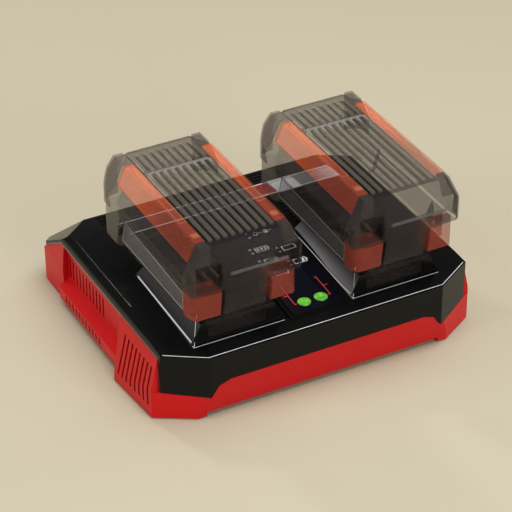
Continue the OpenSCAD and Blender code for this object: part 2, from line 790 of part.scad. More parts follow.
module fuse() color([0.8, 0.8, 0.75]) {
  translate([fuse_xy[0], fuse_xy[1], board_top]) {
    difference() {
      cube([fuse_l, fuse_w, fuse_w]);
      translate([fuse_end, -over, fuse_floor])
        cube([fuse_l - 2 * fuse_end, fuse_w + 2 * over, fuse_w]);
    }
    translate([fuse_end - fuse_bite, fuse_w / 2, fuse_floor + fuse_lift + fuse_r]) rotate([0, 90, 0])
      cylinder(r = fuse_r, h = fuse_l - 2 * (fuse_end - fuse_bite));
  }
}
module mains_terminal() color([0.15, 0.4, 0.6]) {
  difference() {
    translate([terminal_xy[0], terminal_xy[1], board_top]) cube([terminal_w, terminal_d, terminal_h]);
    for (s = [1, 3])
      translate([terminal_xy[0] + s * terminal_w / 4, terminal_xy[1] + terminal_d + over,
        board_top + terminal_h / 2]) rotate([90, 0, 0]) cylinder(r = terminal_hole_r, h = terminal_hole_l);
  }
}
module display_board() color([0.1, 0.3, 0.35]) {
  slab(-display_x, display_x, display_y0, display_y1, display_z, display_z + display_t);
}
// Each guide stands on the display board and ends just below its lens
module light_guides() color([0.9, 0.95, 0.95, 0.6]) {
  for (p = status_xy)
    pillar(p, status_d / 2 - guide_in, display_z + display_t, arch_z(p[1]) - lens_root);
  for (p = indicator_xy)
    pillar(p, indicator_d / 2 - guide_fit, display_z + display_t, arch_z(p[1]) - lens_root);
}

module blade_places() {
  for (i = [0:blade_count - 1])
    translate([(i - (blade_count - 1) / 2) * blade_pitch, 0, 0]) children();
}
module contact_block() color([0.12, 0.12, 0.13]) {
  difference() {
    slab(-channel_w / 2 + slide_gap, channel_w / 2 - slide_gap, block_y0, block_y1, channel_z,
      rail_z - block_lift);
    blade_places() slab(-blade_t / 2 - blade_fit, blade_t / 2 + blade_fit, block_y0 - over,
      block_y1 - blade_back, blade_z0 - blade_fit, blade_z1 + blade_fit);
    slab(-lead_w / 2 - lead_fit, lead_w / 2 + lead_fit, lead_y - lead_t / 2 - lead_fit,
      lead_y + lead_t / 2 + lead_fit, channel_z - over, channel_z + lead_bite + lead_fit);
  }
}
module contacts() color([0.85, 0.75, 0.45]) {
  blade_places() slab(-blade_t / 2, blade_t / 2, block_y0 - blade_l,
    block_y1 - blade_back - blade_fit, blade_z0, blade_z1);
}
module leads() color([0.7, 0.2, 0.15]) {
  slab(-lead_w / 2, lead_w / 2, lead_y - lead_t / 2, lead_y + lead_t / 2, board_top,
    channel_z + lead_bite);
}

// ---- fittings ----
// The flange seats on the inside of the rear wall, and the neck fills the wall's hole
module cord_gland() color([0.08, 0.08, 0.08]) {
  length = wall + gland_l;
  translate([gland_x, back_y, gland_z]) rotate([-90, 0, 0]) translate([0, 0, -length])
    difference() {
      union() {
        cylinder(d = gland_d, h = length);
        cylinder(d = gland_flange_d, h = gland_l - gland_fit);
      }
      translate([0, 0, -over]) cylinder(d = cord_bore_d, h = length + 2 * over);
    }
}
module rubber_feet() color([0.1, 0.1, 0.1]) {
  for (p = foot_xy) pillar(p, foot_d / 2, 0, foot_h);
}
module cover_screws() color(metal) {
  for (p = all_screw_xy) {
    pillar(p, screw_head_r, screw_seat_z - screw_head_h, screw_seat_z);
    pillar(p, screw_d / 2, screw_seat_z - screw_head_h / 2, boss_z + boss_bite);
  }
}
module board_screws() color(metal) {
  for (p = board_screw_xy) {
    pillar(p, board_screw_r, board_screw_z0, board_top + board_screw_head_h / 2);
    pillar(p, board_screw_r * 2, board_top, board_top + board_screw_head_h);
  }
}

// ---- battery packs ----
// Rectangle with round corners, between two places along Y
module rounded(hw, y0, y1, r) {
  translate([-hw + r, y0]) square([2 * (hw - r), y1 - y0]);
  translate([-hw, y0 + r]) square([2 * hw, y1 - y0 - 2 * r]);
  for (x = [-hw + r, hw - r], y = [y0 + r, y1 - r]) translate([x, y]) circle(r);
}
// Upper shell's outer form, inset by t
module upper_form(t) {
  intersection() {
    linear_extrude(height = 2 * tall) rounded(pack_x - t, pack_y0 + t, pack_y1 - t, pack_r - t);
    along_x(pack_w + 10) polygon([
      [pack_y0 + 3 + t, split_z], [pack_y0 + t, brow_z], [pack_y0 + 6 + t, pack_deck - t],
      [pack_y1 - 4 - t, pack_deck - t], [pack_y1 - t, pack_deck - 12], [pack_y1 - t, split_z]]);
    along_y(pack_y0 - 5, pack_y1 + 5) polygon(mirrored([
      [pack_x - 1.5 - t, split_z], [pack_x - t, brow_z],
      [pack_x - bevel_edge_x - t, pack_deck - bevel_z],
        [deck_edge_x - t * tan(bevel_angle / 2), pack_deck - t]]));
  }
}
// Lower shell's outer form, inset by t
module lower_form(t) {
  intersection() {
    linear_extrude(height = 2 * tall) rounded(waist_x - t, waist_y0 + t, waist_y1 - t, pack_r - t);
    along_x(pack_w + 10) polygon([
      [waist_y0 + 3 + t, foot_top + t], [waist_y0 + t, split_z], [waist_y1 - t, split_z],
      [waist_y1 - t, foot_top + t]]);
  }
}
// Full-width rear part of the lower shell, inset by t
module heel_form(t) {
  intersection() {
    linear_extrude(height = 2 * tall) rounded(pack_x - t, waist_y0, pack_y1 - t, pack_r - t);
    along_x(pack_w + 10) polygon([
      [heel_y0 + t, heel_z + t], [heel_y0 - heel_rake + t, split_z], [pack_y1 - t, split_z],
      [pack_y1 - t, heel_z + t]]);
    along_y(waist_y0, pack_y1 + 5) polygon(mirrored([
      [pack_x - 1.5 - t, split_z], [pack_x - t, split_z - heel_flare],
      [pack_x - t, heel_z + heel_chamfer], [pack_x - heel_chamfer - t, heel_z + t]]));
  }
}
// Room for the right button, grown by g and lengthened by the travel
module button_room(g, travel) {
  slab(button_x - g - travel, pack_x + 10, pack_y0 - 10, button_y1 + g, foot_top - over,
    split_z + over);
}
// Finger pocket above the right button, grown by g
module finger_pocket(g) {
  z0 = split_z + plate_t;
  translate([(button_x + waist_x) / 2, 0, 0]) along_x(button_w - 1 + 2 * g) polygon([
    [pack_y0 - 10, z0 - g], [pack_y0 + pocket_d + g, z0 - g],
    [pack_y0 + pocket_d - 2 + g, z0 + pocket_h / 3], [pack_y0 + 2 + g, z0 + pocket_h + g],
    [pack_y0 - 10, z0 + pocket_h + g]]);
}
// Slide block under the foot: a T that runs in the channel, with slots for the blades
module slide_block() {
  neck = channel_mouth_w / 2 - slide_gap;
  head = channel_w / 2 - slide_gap;
  z0 = channel_z + slide_gap;
  slab(-head, head, tower_y0, tower_y1, z0, rail_z - slide_gap);
  slab(-neck, neck, tower_y0, tower_y1, z0, pack_z + over);
}
module slide_block_cuts() {
  neck = channel_mouth_w / 2 - slide_gap;
  blade_places() slab(-blade_t / 2 - 0.8, blade_t / 2 + 0.8, block_y0 - blade_l - 3,
    tower_y1 + over, blade_z0 - 0.8, blade_z1 + 0.8);
  slab(-neck + pack_wall, neck - pack_wall, tower_y0 + pack_wall, block_y0 - blade_l - 6,
    channel_z + slide_gap + pack_wall, foot_top);
}
module foot(t) {
  slab(-foot_w / 2 + t, foot_w / 2 - t, foot_y0 + t, foot_y1 - t, pack_z + t, foot_top + over);
}
module pack_case_lower() color(charcoal) {
  difference() {
    union() {
      difference() {
        union() {
          lower_form(0);
          heel_form(0);
          foot(0);
        }
        difference() {
          lower_form(pack_wall);
          both_sides() button_room(button_gap + pocket_t, button_travel);
        }
        heel_form(pack_wall);
        foot(pack_wall);
      }
      slide_block();
    }
    slide_block_cuts();
    both_sides() button_room(button_gap, button_travel);
  }
}
module rib_places() {
  span = 2 * (rib_field_x - rib_w / 2 - 1.2);
  for (i = [0:rib_count - 1]) translate([-span / 2 + i * span / (rib_count - 1), 0, 0]) children();
}
module rib(y0, y1) {
  slab(-rib_w / 2, rib_w / 2, y0 + rib_w / 2, y1 - rib_w / 2, pack_deck - over, pack_top);
  for (y = [y0 + rib_w / 2, y1 - rib_w / 2]) pillar([0, y], rib_w / 2, pack_deck - over, pack_top);
}
module pack_case_upper() color(charcoal) {
  difference() {
    union() {
      difference() {
        upper_form(0);
        difference() {
          intersection() {
            upper_form(pack_wall);
            slab(-pack_x, pack_x, pack_y0, pack_y1, split_z + plate_t, pack_top);
          }
          both_sides() finger_pocket(pocket_t);
        }
        slab(-button_x + 4, button_x - 4, waist_y0 + 20, waist_y1 - 8, split_z - over,
          split_z + plate_t + over);
      }
      rib_places() {
        rib(rib_y0, rib_break_y - rib_break_w / 2);
        rib(rib_break_y + rib_break_w / 2, rib_y1);
      }
      slab(-rib_field_x + over, rib_field_x - over, rib_y1 - rib_w / 2, comb_y, pack_deck - over,
        pack_top);
    }
    both_sides() finger_pocket(0);
    slab(gauge_x - gauge_l / 2 - 0.1, gauge_x + gauge_l / 2 + 0.1, pack_y0 - over,
      pack_y0 + gauge_in + 0.1, brow_z - 1.1, brow_z + 1.1);
  }
}
// Each strip lies on the deck and wraps the bevel along a pack's long edge
module grip_strips() color(red) {
  run = (bevel_x - bevel_edge_x) * 0.9;
  fall = bevel_z * 0.9;
  out_x = strip_t * sin(bevel_angle);
  out_z = strip_t * cos(bevel_angle);
  both_sides() along_y(strip_y0, strip_y0 + strip_l) polygon([
    [deck_edge_x - strip_w, pack_deck], [deck_edge_x, pack_deck], [deck_edge_x + run, pack_deck - fall],
    [deck_edge_x + run + out_x, pack_deck - fall + out_z],
    [deck_edge_x + strip_t * tan(bevel_angle / 2), pack_deck + strip_t],
    [deck_edge_x - strip_w + strip_t / 2, pack_deck + strip_t]]);
}
// Skins that wrap the four upper corners
module bumpers() color([0.3, 0.28, 0.27]) {
  intersection() {
    difference() {
      upper_form(-bumper_t);
      upper_form(0);
      both_sides() finger_pocket(0);
      both_sides() slab(0, pack_x + 10, strip_y0 - 0.3, strip_y0 + strip_l + 0.3, split_z, pack_top);
    }
    for (x = [-bumper_x, bumper_x], y = [pack_y0 + bumper_r - 2, pack_y1 - bumper_r + 2])
      pillar([x, y], bumper_r, split_z + 2, pack_top);
  }
}
module gauge_bar() color([0.6, 0.58, 0.55]) {
  slab(gauge_x - gauge_l / 2, gauge_x + gauge_l / 2, pack_y0 - 0.4, pack_y0 + gauge_in, brow_z - 1,
    brow_z + 1);
}
// Spring clips that grip the contact blades from both sides
module pack_terminals() color([0.8, 0.7, 0.45]) {
  blade_places() both_sides() slab(blade_t / 2 + 0.2, blade_t / 2 + 0.75, block_y0 - blade_l - 3,
    block_y0 - blade_l + 8, blade_z0 - 0.3, blade_z1 + 0.3);
}
module right_button() color(red) {
  intersection() {
    lower_form(-button_proud);
    slab(button_x, pack_x + 5, pack_y0 - 10, button_y1, button_z0, button_z1);
  }
}
module left_button() { mirror([1, 0, 0]) right_button(); }

base_shell();
top_cover();
window_panel();
status_lenses();
indicator_lenses();
label_band();
main_board();
transformer();
filter_capacitors();
heat_sink();
power_transistors();
fuse();
mains_terminal();
display_board();
light_guides();
left() contact_block();  // left_contact_block
right() contact_block();  // right_contact_block
left() contacts();  // left_contacts
right() contacts();  // right_contacts
left() leads();  // left_leads
right() leads();  // right_leads
cord_gland();
rubber_feet();
cover_screws();
board_screws();
left() pack_case_lower();  // left_pack_case_lower
right() pack_case_lower();  // right_pack_case_lower
left() pack_case_upper();  // left_pack_case_upper
right() pack_case_upper();  // right_pack_case_upper
left() grip_strips();  // left_pack_grip_strips
right() grip_strips();  // right_pack_grip_strips
left() bumpers();  // left_pack_bumpers
right() bumpers();  // right_pack_bumpers
left() gauge_bar();  // left_pack_gauge_bar
right() gauge_bar();  // right_pack_gauge_bar
left() pack_terminals();  // left_pack_terminals
right() pack_terminals();  // right_pack_terminals
left() left_button();  // left_pack_left_button
left() right_button();  // left_pack_right_button
right() left_button();  // right_pack_left_button
right() right_button();  // right_pack_right_button
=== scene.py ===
"""Looks of a twin-bay battery charger with two see-through battery packs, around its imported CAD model.

Lengths are metres in the part's own frame: +X right, +Y back, +Z up, origin under the middle. The marks
on the cover are laid out in millimetres.
"""

import json
import math

import bmesh
import bpy
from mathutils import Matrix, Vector
from mathutils.bvhtree import BVHTree


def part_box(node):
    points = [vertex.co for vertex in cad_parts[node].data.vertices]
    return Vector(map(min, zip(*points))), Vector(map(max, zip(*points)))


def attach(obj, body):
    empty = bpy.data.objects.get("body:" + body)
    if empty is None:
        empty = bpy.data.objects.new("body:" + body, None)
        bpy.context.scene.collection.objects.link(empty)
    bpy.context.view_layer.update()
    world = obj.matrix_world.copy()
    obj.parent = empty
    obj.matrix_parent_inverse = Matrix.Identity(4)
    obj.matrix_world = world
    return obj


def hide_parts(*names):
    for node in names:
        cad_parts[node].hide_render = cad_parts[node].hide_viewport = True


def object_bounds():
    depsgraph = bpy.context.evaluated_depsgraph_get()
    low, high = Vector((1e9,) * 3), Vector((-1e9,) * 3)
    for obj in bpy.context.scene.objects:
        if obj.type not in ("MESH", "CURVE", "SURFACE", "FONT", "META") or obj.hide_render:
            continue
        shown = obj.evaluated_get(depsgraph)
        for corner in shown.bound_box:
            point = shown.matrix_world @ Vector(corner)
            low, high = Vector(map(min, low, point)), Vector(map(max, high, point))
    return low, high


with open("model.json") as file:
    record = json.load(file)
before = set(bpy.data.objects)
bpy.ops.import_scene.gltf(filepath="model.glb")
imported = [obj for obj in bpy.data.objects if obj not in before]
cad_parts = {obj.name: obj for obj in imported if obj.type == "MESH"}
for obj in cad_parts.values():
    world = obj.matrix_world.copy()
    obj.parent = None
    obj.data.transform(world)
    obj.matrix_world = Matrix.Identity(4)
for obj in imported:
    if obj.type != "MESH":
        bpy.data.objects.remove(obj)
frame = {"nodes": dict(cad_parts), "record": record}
NODES = frame["nodes"]
cad_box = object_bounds()
MM = 0.001
SIDES = ("left", "right")


# ---------------------------------------------------------------- camera and stage
CAMERA_AZIMUTH = -28
CAMERA_ELEVATION = 34
CAMERA_DISTANCE = 1.5768
CAMERA_TARGET = Vector((-0.00305, -0.00682, 0.04503))
SENSOR_WIDTH = 36.0
LENS = 161.7

FLOOR_SIZE = 12.0
FLOOR_COLOUR = (0.49, 0.44, 0.32, 1)
FLOOR_ROUGHNESS = 0.7
FLOOR_SPECULAR = 0.2
WORLD_COLOUR = (0.80, 0.80, 0.80, 1)
WORLD_STRENGTH = 0.15
CLEAR_LAYERS = 32

LAMPS = [  # name, azimuth, elevation, distance, (width, height), watts
    ("key", -88, 26, 1.8, (1.0, 0.9), 13),
    ("top", 40, 80, 1.7, (1.3, 1.3), 27),
    ("front", 8, 22, 1.9, (1.1, 0.5), 17),
    ("right", 100, 30, 1.9, (0.9, 0.7), 5),
    ("rear_edge", -160, 40, 1.3, (0.12, 0.12), 3),
]


def from_target(azimuth, elevation, distance):
    """The place at that distance from the camera's target; azimuth 0 looks along +Y, angles in degrees."""
    azimuth, elevation = math.radians(azimuth), math.radians(elevation)
    out = Vector((
        math.sin(azimuth) * math.cos(elevation),
        -math.cos(azimuth) * math.cos(elevation),
        math.sin(elevation),
    ))
    return CAMERA_TARGET + out * distance


def aim(obj, place):
    """Puts a lamp or camera at place, looking at the target."""
    obj.location = place
    obj.rotation_mode = "QUATERNION"
    obj.rotation_quaternion = (CAMERA_TARGET - place).to_track_quat("-Z", "Y")
    bpy.context.scene.collection.objects.link(obj)


def make_camera():
    data = bpy.data.cameras.new("camera")
    data.sensor_width = SENSOR_WIDTH
    data.lens = LENS
    camera = bpy.data.objects.new("camera", data)
    aim(camera, from_target(CAMERA_AZIMUTH, CAMERA_ELEVATION, CAMERA_DISTANCE))
    bpy.context.scene.camera = camera


def area_light(name, azimuth, elevation, distance, size, power):
    """A soft lamp; size is (width, height)."""
    data = bpy.data.lights.new(name, "AREA")
    data.shape = "RECTANGLE"
    data.size, data.size_y = size
    data.energy = power
    lamp = bpy.data.objects.new(name, data)
    aim(lamp, from_target(azimuth, elevation, distance))


def make_floor():
    mesh = bpy.data.meshes.new("floor")
    half = FLOOR_SIZE / 2
    corners = [(-half, -half, 0), (half, -half, 0), (half, half, 0), (-half, half, 0)]
    mesh.from_pydata(corners, [], [(0, 1, 2, 3)])
    floor = bpy.data.objects.new("floor", mesh)
    bpy.context.scene.collection.objects.link(floor)
    material, shader = new_material("floor_matt")
    shader.inputs["Base Color"].default_value = FLOOR_COLOUR
    shader.inputs["Roughness"].default_value = FLOOR_ROUGHNESS
    shader.inputs["Specular IOR Level"].default_value = FLOOR_SPECULAR
    mesh.materials.append(material)


def make_stage():
    """The floor, a dim even world and the lamps."""
    make_floor()
    world = bpy.data.worlds.new("world")
    world.use_nodes = True
    background = world.node_tree.nodes["Background"]
    background.inputs["Color"].default_value = WORLD_COLOUR
    background.inputs["Strength"].default_value = WORLD_STRENGTH
    scene = bpy.context.scene
    scene.world = world
    scene.view_settings.view_transform = "Standard"
    scene.cycles.transparent_max_bounces = CLEAR_LAYERS
    for lamp in LAMPS:
        area_light(*lamp)


# ---------------------------------------------------------------- shader nodes
def new_material(name):
    """(material, its Principled shader)"""
    made = bpy.data.materials.new(name)
    made.use_nodes = True
    return made, made.node_tree.nodes["Principled BSDF"]


def add_node(material, kind, **values):
    """A node of that kind, with input values by socket name and settings by attribute."""
    node = material.node_tree.nodes.new(kind)
    for key, value in values.items():
        if key in node.inputs:
            node.inputs[key].default_value = value
        else:
            setattr(node, key, value)
    return node


def wire(material, source, target):
    material.node_tree.links.new(source, target)


def object_place(material):
    """Where a point lies in the part's frame, in metres."""
    return add_node(material, "ShaderNodeTexCoord").outputs["Object"]


def place_along(material, axis):
    """Where a point lies along X, Y or Z in the part's frame, in metres."""
    split = add_node(material, "ShaderNodeSeparateXYZ")
    wire(material, object_place(material), split.inputs[0])
    return split.outputs[axis]


def noise(material, size, detail=3.0, roughness=0.5):
    """Noise with features of about that size, from 0 to 1."""
    node = add_node(material, "ShaderNodeTexNoise", Detail=detail, Roughness=roughness)
    node.inputs["Scale"].default_value = 1 / size
    wire(material, object_place(material), node.inputs["Vector"])
    return node.outputs["Fac"]


def remap(material, value, low, high, to_low, to_high):
    """The value with the range low to high turned into to_low to to_high, and clamped."""
    node = add_node(material, "ShaderNodeMapRange")
    for socket, number in zip(("From Min", "From Max", "To Min", "To Max"), (low, high, to_low, to_high)):
        node.inputs[socket].default_value = number
    wire(material, value, node.inputs["Value"])
    return node.outputs["Result"]


def shade(colour, factor):
    """The colour made lighter or darker, with an alpha of 1."""
    return tuple(channel * factor for channel in colour[:3]) + (1,)


def mixed(material, share, first, second):
    """Two colours, each a tuple or a socket, mixed by a socket's value."""
    node = add_node(material, "ShaderNodeMix")
    node.data_type = "RGBA"
    wire(material, share, node.inputs[0])
    sockets = [socket for socket in node.inputs if socket.type == "RGBA"]
    for socket, colour in zip(sockets, (first, second)):
        if isinstance(colour, tuple):
            socket.default_value = colour
        else:
            wire(material, colour, socket)
    return next(socket for socket in node.outputs if socket.type == "RGBA")


def bumped(material, shader, height, distance, strength):
    bump = add_node(material, "ShaderNodeBump", Strength=strength, Distance=distance)
    wire(material, height, bump.inputs["Height"])
    wire(material, bump.outputs["Normal"], shader.inputs["Normal"])


# ---------------------------------------------------------------- materials
FLOW_SIZE = 22 * MM
HANDLING_SIZE = 9 * MM
HANDLING_RANGE = (0.3, 0.7)
GRAIN_SIZE = 0.5 * MM
GRAIN_DEPTH = 0.004 * MM
GRAIN_STRENGTH = 0.6
GLOSS_SPREAD = (-0.02, 0.03)


def moulded(
    name, colour, roughness, mottle=0.1, grain_depth=GRAIN_DEPTH,
    alpha=1.0, specular=0.5, metallic=0, tint=None,
):
    """Moulded plastic or metal: a fine grain, faint flow marks and uneven gloss."""
    material, shader = new_material(name)
    flow = noise(material, FLOW_SIZE, detail=4)
    colours = mixed(material, flow, shade(colour, 1 - mottle), shade(colour, 1 + mottle))
    if tint:
        colours = tint(material, colours)
    wire(material, colours, shader.inputs["Base Color"])
    handling = noise(material, HANDLING_SIZE, detail=6, roughness=0.6)
    gloss = remap(material, handling, *HANDLING_RANGE, *(roughness + spread for spread in GLOSS_SPREAD))
    wire(material, gloss, shader.inputs["Roughness"])
    bumped(material, shader, noise(material, GRAIN_SIZE, detail=2), grain_depth, GRAIN_STRENGTH)
    for socket, value in (("Alpha", alpha), ("Specular IOR Level", specular), ("Metallic", metallic)):
        shader.inputs[socket].default_value = value
    return material


FLANK_FACING = (-0.916, 0, 0.403)
FLANK_MATCH = (0.95, 0.98)
FLANK_FROM_X = (-0.106, -0.102)  # the cover's left edge gets no painted sheen
RIGHT_BAY_FROM_X = (-0.02, 0)
FOOT_TO_Z = (0.055, 0.066)
FOOT_Y = (-0.03, -0.085)
FOOT_SHARE = (1, 0.45)
# painted sheen: lighter colours on the bays' left flanks stand in for reflected light, and a painted
# highlight runs along the right bay's foot
LEFT_FLANK_SHEEN = (0.035, 0.034, 0.035, 1)
RIGHT_FLANK_SHEEN = (0.055, 0.053, 0.055, 1)
FOOT_DARK = (0.02, 0.02, 0.02, 1)
FOOT_HIGHLIGHT = (0.46, 0.44, 0.46, 1)


def flank_painted_sheen(material, colours):
    """Painted sheen: a lighter colour on the left flank of each bay that stands in for reflected light, with
    a painted highlight along the foot of the right one.
    """
    normal = add_node(material, "ShaderNodeNewGeometry").outputs["Normal"]
    facing = add_node(material, "ShaderNodeVectorMath", operation="DOT_PRODUCT")
    wire(material, normal, facing.inputs[0])
    facing.inputs[1].default_value = FLANK_FACING
    x, y, z = (place_along(material, axis) for axis in "XYZ")
    both = add_node(material, "ShaderNodeMath", operation="MULTIPLY")
    wire(material, remap(material, facing.outputs["Value"], *FLANK_MATCH, 0, 1), both.inputs[0])
    wire(material, remap(material, x, *FLANK_FROM_X, 0, 1), both.inputs[1])
    in_right_bay = remap(material, x, *RIGHT_BAY_FROM_X, 0, 1)
    above_foot = remap(material, z, *FOOT_TO_Z, 0, 1)
    foot = mixed(material, remap(material, y, *FOOT_Y, *FOOT_SHARE), FOOT_DARK, FOOT_HIGHLIGHT)
    painted_sheen = mixed(material, in_right_bay, LEFT_FLANK_SHEEN, mixed(material, above_foot, foot, RIGHT_FLANK_SHEEN))
    return mixed(material, both.outputs["Value"], colours, painted_sheen)


PACK_FADE_Y = (-0.055, -0.015)


def lighter_at_rear(rear_colour):
    """A tint that fades to another colour towards the rear of the pack."""
    def tint(material, colours):
        rearward = remap(material, place_along(material, "Y"), *PACK_FADE_Y, 0, 1)
        return mixed(material, rearward, colours, rear_colour)
    return tint


SMOKE = (0.044, 0.036, 0.033)
FINISHES = [  # name, colour, roughness, and what differs from plain moulded plastic
    ("casing_red", (0.54, 0.008, 0.010), 0.34, dict(mottle=0.05, specular=0.14)),
    # the black cover gets painted sheen on the bay flanks
    ("cover_black", (0.004, 0.004, 0.0038), 0.2, dict(mottle=0.15, specular=0.15, tint=flank_painted_sheen)),
    # a light grey that paints a highlight on the black cover's rounded edges and lip beads
    ("cover_edge_highlight", (0.16, 0.165, 0.155), 0.22, dict(specular=0.6)),
    ("panel_navy", (0.002, 0.0022, 0.007), 0.12, dict(mottle=0.2, grain_depth=0)),
    ("print_white", (0.75, 0.75, 0.76), 0.5, dict(mottle=0.08)),
    ("print_red", (0.6, 0.03, 0.03), 0.5, dict(mottle=0.08)),
    ("board_green", (0.02, 0.14, 0.06), 0.35, dict(mottle=0.15)),
    ("winding", (0.62, 0.42, 0.08), 0.4, dict(mottle=0.15)),
    ("component_black", (0.02, 0.02, 0.024), 0.4, {}),
    ("ceramic", (0.7, 0.68, 0.6), 0.35, {}),
    ("terminal_blue", (0.04, 0.18, 0.38), 0.4, {}),
    ("guide_clear", (0.75, 0.82, 0.82), 0.15, dict(alpha=0.5)),
    ("block_black", (0.02, 0.02, 0.022), 0.5, {}),
    ("lead_red", (0.4, 0.02, 0.015), 0.5, {}),
    ("rubber_black", (0.015, 0.015, 0.015), 0.75, dict(grain_depth=0.03 * MM)),
    ("aluminium", (0.75, 0.76, 0.78), 0.3, dict(mottle=0.08, metallic=1)),
    ("contact_brass", (0.78, 0.6, 0.28), 0.28, dict(mottle=0.08, metallic=1)),
    ("screw_steel", (0.6, 0.61, 0.63), 0.35, dict(mottle=0.08, metallic=1)),
    ("pack_charcoal", SMOKE, 0.34, dict(alpha=0.46, specular=0.15)),
    ("pack_rear", (0.20, 0.175, 0.135), 0.4, dict(alpha=0.44, specular=0.15)),
    # painted shade on the deck between the ribs, which is darker than the shell, and a painted highlight on
    # the ribs, which are lighter
    ("pack_groove_shade", shade(SMOKE, 0.4), 0.4, dict(alpha=0.74, specular=0.1)),
    ("pack_rib", (0.10, 0.083, 0.067), 0.36, dict(alpha=0.6, specular=0.25)),
    ("pack_under", SMOKE, 0.5, dict(alpha=0.24, specular=0.05)),
    ("pack_inside", SMOKE, 0.5, dict(alpha=0.015, specular=0.0)),
    ("pack_red", (0.36, 0.058, 0.035), 0.38, dict(alpha=0.44, specular=0.2)),
    ("pack_strip", (0.42, 0.075, 0.04), 0.38,
     dict(alpha=0.3, specular=0.15, tint=lighter_at_rear((0.88, 0.11, 0.012, 1)))),
    ("pack_inset", (0.55, 0.2, 0.09), 0.38, dict(alpha=0.3, specular=0.3)),
    ("pack_pad", (0.055, 0.045, 0.038), 0.5,
     dict(alpha=0.45, specular=0.2, tint=lighter_at_rear((0.19, 0.155, 0.125, 1)))),
    ("pack_film", (0.30, 0.28, 0.27), 0.4, dict(alpha=0.22, specular=0.2)),
    ("pack_print", (0.5, 0.48, 0.46), 0.5, dict(alpha=0.6, specular=0.2)),
    # painted highlight on the rib ends at the cross groove
    ("pack_gleam", (0.42, 0.39, 0.35), 0.3, dict(alpha=0.4)),
    ("gauge_grey", (0.16, 0.155, 0.15), 0.2, dict(alpha=0.35, specular=0.3)),
]


CLOUD_SIZE = 3 * MM
CLOUD_RANGE = (0.35, 0.65)
CLOUD_SHADES = (0.7, 1.2)
LENS_GLOSS = (0.2, 0.3)
FROST_SIZE = 1 * MM
FROST_DEPTH = 0.02 * MM
FROST_STRENGTH = 0.5


def lit_lens(name, colour, light):
    """A diffusing lens, lit from behind by its lamp when light is not zero."""
    material, shader = new_material(name)
    clouding = noise(material, CLOUD_SIZE)
    mottle = remap(material, clouding, *CLOUD_RANGE, 0, 1)
    colours = mixed(material, mottle, *(shade(colour, factor) for factor in CLOUD_SHADES))
    wire(material, colours, shader.inputs["Base Color"])
    if light:
        wire(material, colours, shader.inputs["Emission Color"])
        shader.inputs["Emission Strength"].default_value = light
    wire(material, remap(material, clouding, *HANDLING_RANGE, *LENS_GLOSS), shader.inputs["Roughness"])
    bumped(material, shader, noise(material, FROST_SIZE, detail=2), FROST_DEPTH, FROST_STRENGTH)
    return material


LABEL_GLOSS = (0.36, 0.44)
FIELD_RED = (0.25, 0.012, 0.012)
FIELD_WHITE = (0.72, 0.70, 0.70)
LABEL_FIELDS = [  # share of the band's length from its left end, colour
    (0.0, (0.012, 0.012, 0.013)), (0.40, (0.016, 0.016, 0.017)), (0.64, (0.05, 0.045, 0.045)),
    (0.645, FIELD_RED), (0.70, FIELD_RED), (0.705, FIELD_WHITE), (0.81, FIELD_WHITE),
    (0.82, (0.2, 0.2, 0.2)), (0.9, (0.14, 0.14, 0.14)), (1.0, (0.5, 0.5, 0.5)),
]


def label_film():
    """Printed film: dark at the left, then a red field, a white one and silver at the right."""
    material, shader = new_material("label_film")
    low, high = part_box("label_band")
    along = remap(material, place_along(material, "X"), low.x, high.x, 0, 1)
    ramp = add_node(material, "ShaderNodeValToRGB")
    elements = ramp.color_ramp.elements
    while len(elements) < len(LABEL_FIELDS):
        elements.new(0.5)
    for element, (place, colour) in zip(elements, LABEL_FIELDS):
        element.position = place
        element.color = (*colour, 1)
    wire(material, along, ramp.inputs["Fac"])
    wire(material, ramp.outputs["Color"], shader.inputs["Base Color"])
    gloss = remap(material, noise(material, HANDLING_SIZE, detail=6), *HANDLING_RANGE, *LABEL_GLOSS)
    wire(material, gloss, shader.inputs["Roughness"])
    bumped(material, shader, noise(material, GRAIN_SIZE, detail=2), GRAIN_DEPTH, GRAIN_STRENGTH)
    return material


def make_materials():
    made = {name: moulded(name, colour, roughness, **rest) for name, colour, roughness, rest in FINISHES}
    made["lens_green"] = lit_lens("lens_green", (0.12, 0.42, 0.04), 0.3)
    made["lens_clear"] = lit_lens("lens_clear", (0.35, 0.38, 0.36), 0.0)
    made["label_film"] = label_film()
    return made


# ---------------------------------------------------------------- CAD nodes: finish and soft edges
SLOT_OF = {row["node"]: row["material_slot"] for row in frame["record"]["subparts"]}
FILM_OF_SLOT = {"label_print": "label_film"}
WELD_REACH = 0.002 * MM


def dress(materials):
    """Gives every CAD node the material of its slot."""
    for name, node in NODES.items():
        slot = SLOT_OF[name]
        material = materials[FILM_OF_SLOT.get(slot, slot)]
        node.data.materials.clear()
        node.data.materials.append(material)


def soften(obj, width, angle=28, segments=2, edge_material=None):
    """Rounds an object's edges, and lights its flat faces as flat ones."""
    weld = obj.modifiers.new("weld", "WELD")
    weld.merge_threshold = WELD_REACH
    edge = obj.modifiers.new("edge", "BEVEL")
    edge.width = width
    edge.segments = segments
    edge.limit_method = "ANGLE"
    edge.angle_limit = math.radians(angle)
    edge.miter_outer = "MITER_ARC"
    edge.use_clamp_overlap = True
    if edge_material:
        obj.data.materials.append(edge_material)
        edge.material = len(obj.data.materials) - 1
    normals = obj.modifiers.new("normals", "WEIGHTED_NORMAL")
    normals.keep_sharp = False


